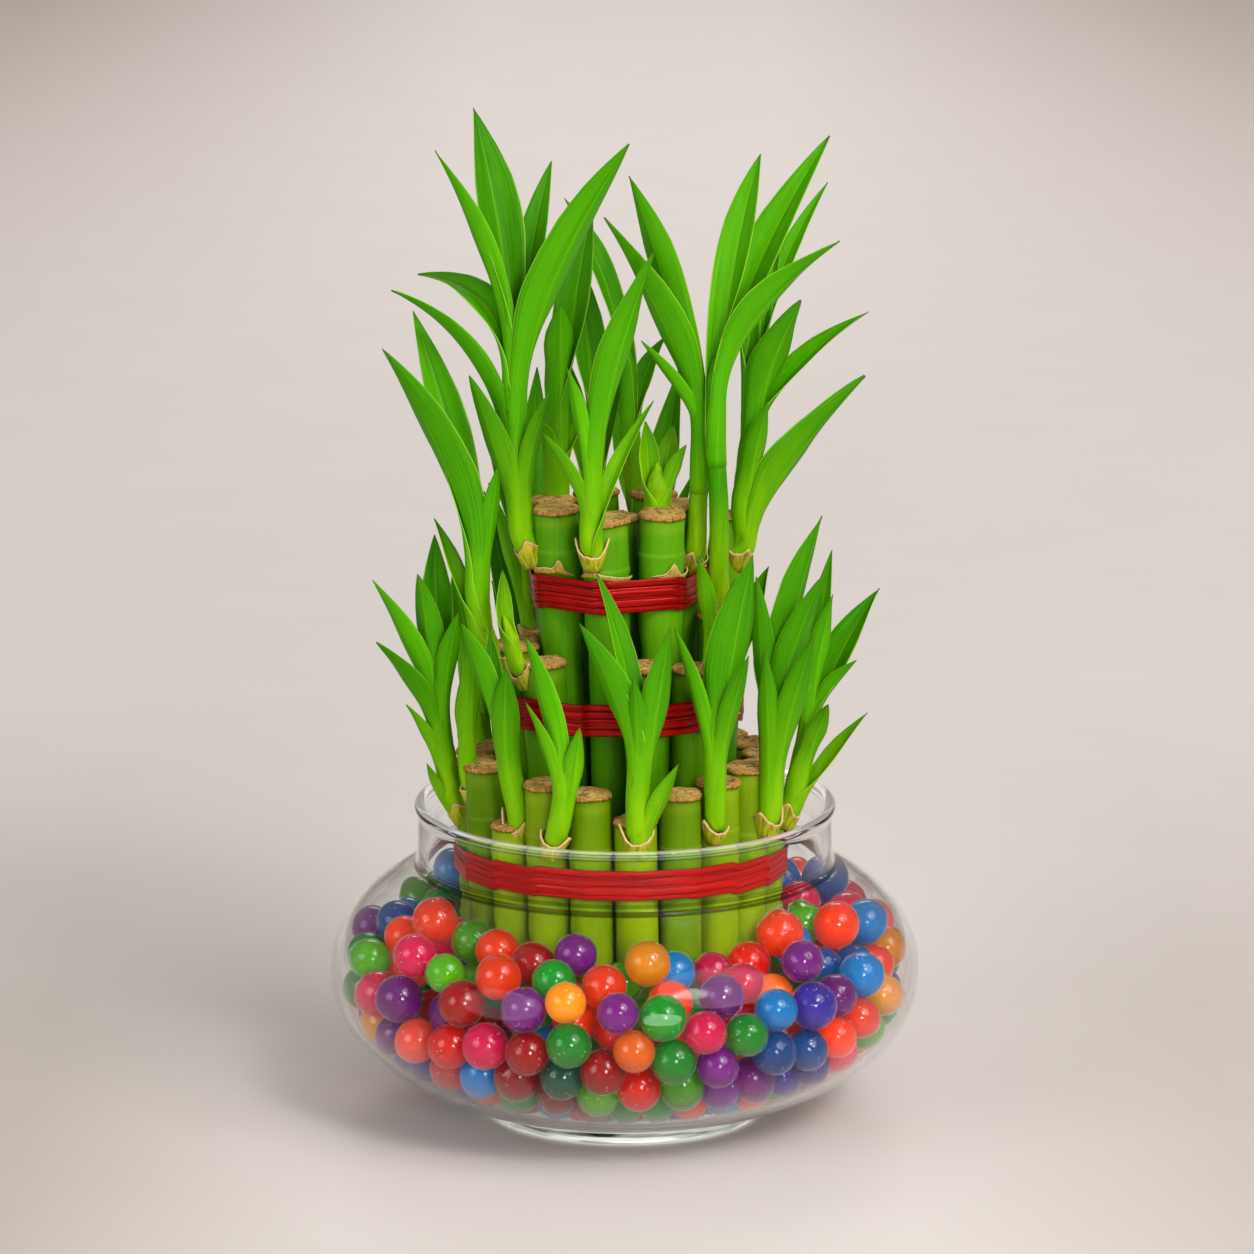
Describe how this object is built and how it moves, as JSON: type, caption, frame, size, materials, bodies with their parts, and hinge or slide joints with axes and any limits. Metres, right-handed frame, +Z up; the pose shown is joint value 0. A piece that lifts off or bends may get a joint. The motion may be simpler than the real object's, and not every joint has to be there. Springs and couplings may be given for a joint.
{
  "type": "lucky bamboo plant in a glass bowl",
  "caption": "Tiered lucky bamboo: cut green stalks tied with red ribbon, leafy shoots at the nodes, standing in a squat clear glass bowl of coloured water beads.",
  "frame": {"origin": "middle of the bowl's flat underside, on the surface it stands on", "axes": "+Z up along the bowl's axis, -Y towards the front of the plant, +X to the front's right"},
  "size_m": [0.1462, 0.147, 0.253],
  "materials": {
    "clear_glass": "clear, polished",
    "gel_beads": "wet and translucent, in about ten colours",
    "red_ribbon": "shiny flat ribbon",
    "bamboo_green": "smooth waxy living stalk and leaf"
  },
  "bodies": {
    "root": {"glass_bowl": "clear_glass", "stalk_bottom_01": "bamboo_green", "stalk_bottom_02": "bamboo_green", "stalk_bottom_03": "bamboo_green", "stalk_bottom_04": "bamboo_green", "stalk_bottom_05": "bamboo_green", "stalk_bottom_06": "bamboo_green", "stalk_bottom_07": "bamboo_green", "stalk_bottom_08": "bamboo_green", "stalk_bottom_09": "bamboo_green", "stalk_bottom_10": "bamboo_green", "stalk_bottom_11": "bamboo_green", "stalk_bottom_12": "bamboo_green", "stalk_bottom_13": "bamboo_green", "stalk_bottom_14": "bamboo_green", "stalk_bottom_15": "bamboo_green", "stalk_bottom_16": "bamboo_green", "stalk_bottom_17": "bamboo_green", "stalk_bottom_18": "bamboo_green", "stalk_bottom_19": "bamboo_green", "stalk_bottom_20": "bamboo_green", "stalk_core": "bamboo_green", "stalk_middle_01": "bamboo_green", "stalk_middle_02": "bamboo_green", "stalk_middle_03": "bamboo_green", "stalk_middle_04": "bamboo_green", "stalk_middle_05": "bamboo_green", "stalk_middle_06": "bamboo_green", "stalk_middle_07": "bamboo_green", "stalk_middle_08": "bamboo_green", "stalk_middle_09": "bamboo_green", "stalk_middle_10": "bamboo_green", "stalk_middle_11": "bamboo_green", "stalk_top_01": "bamboo_green", "stalk_top_02": "bamboo_green", "stalk_top_03": "bamboo_green", "stalk_top_04": "bamboo_green", "stalk_top_05": "bamboo_green", "stalk_top_06": "bamboo_green", "stalk_top_07": "bamboo_green", "tie_bottom": "red_ribbon", "tie_middle": "red_ribbon", "tie_top": "red_ribbon", "water_beads": "gel_beads"}
  },
  "joints": []
}
